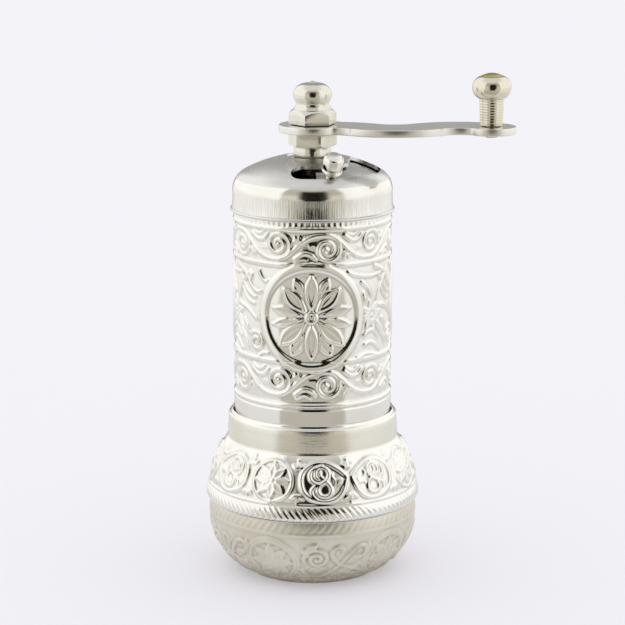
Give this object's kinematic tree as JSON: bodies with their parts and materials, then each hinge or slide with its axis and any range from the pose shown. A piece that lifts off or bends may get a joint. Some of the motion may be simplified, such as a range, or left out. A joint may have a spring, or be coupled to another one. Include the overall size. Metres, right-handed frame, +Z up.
{
  "type": "hand-crank spice grinder",
  "caption": "Slim hand-crank spice mill with a domed lid, filler shutter, conical burrs and S-curved crank, plugged into a bulbous two-part pot that catches the ground spice.",
  "frame": {"origin": "centre of the flat foot of the spice cup", "axes": "+Z up along the shaft, +X along the crank arm at rest, -Y towards the filler opening"},
  "size_m": [0.0665, 0.047, 0.1088],
  "materials": {
    "nickel": "bright nickel plate over embossed brass",
    "satin_nickel": "satin nickel plate",
    "steel": "turned steel",
    "burr_steel": "hardened dark burr steel",
    "brass": "bare turned brass"
  },
  "bodies": {
    "cup": {"base_cup": "satin_nickel"},
    "bell": {"base_bell": "nickel"},
    "mill": {"body_tube": "nickel", "dome_lid": "nickel", "pivot_eyelet": "brass", "shutter_washer": "steel", "guide_bar": "steel", "guide_bush": "brass", "burr_ring": "burr_steel", "burr_bridge": "steel", "bridge_screws": "steel"},
    "shutter": {"filler_shutter": "satin_nickel", "shutter_knob": "nickel"},
    "crank": {"drive_shaft": "steel", "burr_cone": "burr_steel", "cone_pin": "steel", "collar_nut": "nickel", "crank_arm": "nickel", "acorn_nut": "nickel", "knob_rivet": "brass"},
    "knob": {"crank_knob": "nickel"},
    "adjuster": {"adjuster_screw": "brass", "adjuster_nut": "steel", "thrust_ball": "steel"}
  },
  "joints": [
    {"name": "bell_lift", "type": "slide", "parent": "cup", "child": "bell", "axis": [0, 0, 1], "range_m": [0, 0.02]},
    {"name": "mill_lift", "type": "slide", "parent": "bell", "child": "mill", "axis": [0, 0, 1], "range_m": [0, 0.03]},
    {"name": "crank_spin", "type": "hinge", "parent": "mill", "child": "crank", "pos_m": [0, 0, 0.09], "axis": [0, 0, 1], "continuous": true},
    {"name": "knob_spin", "type": "hinge", "parent": "crank", "child": "knob", "pos_m": [0.03775, -0.0031, 0.1], "axis": [0, 0, 1], "continuous": true},
    {"name": "shutter_turn", "type": "hinge", "parent": "mill", "child": "shutter", "pos_m": [0, 0, 0.0885], "axis": [0, 0, 1], "range_deg": [-29, 80]},
    {"name": "adjuster_turn", "type": "hinge", "parent": "mill", "child": "adjuster", "pos_m": [0, 0, 0.022], "axis": [0, 0, 1], "range_deg": [-180, 180]}
  ]
}
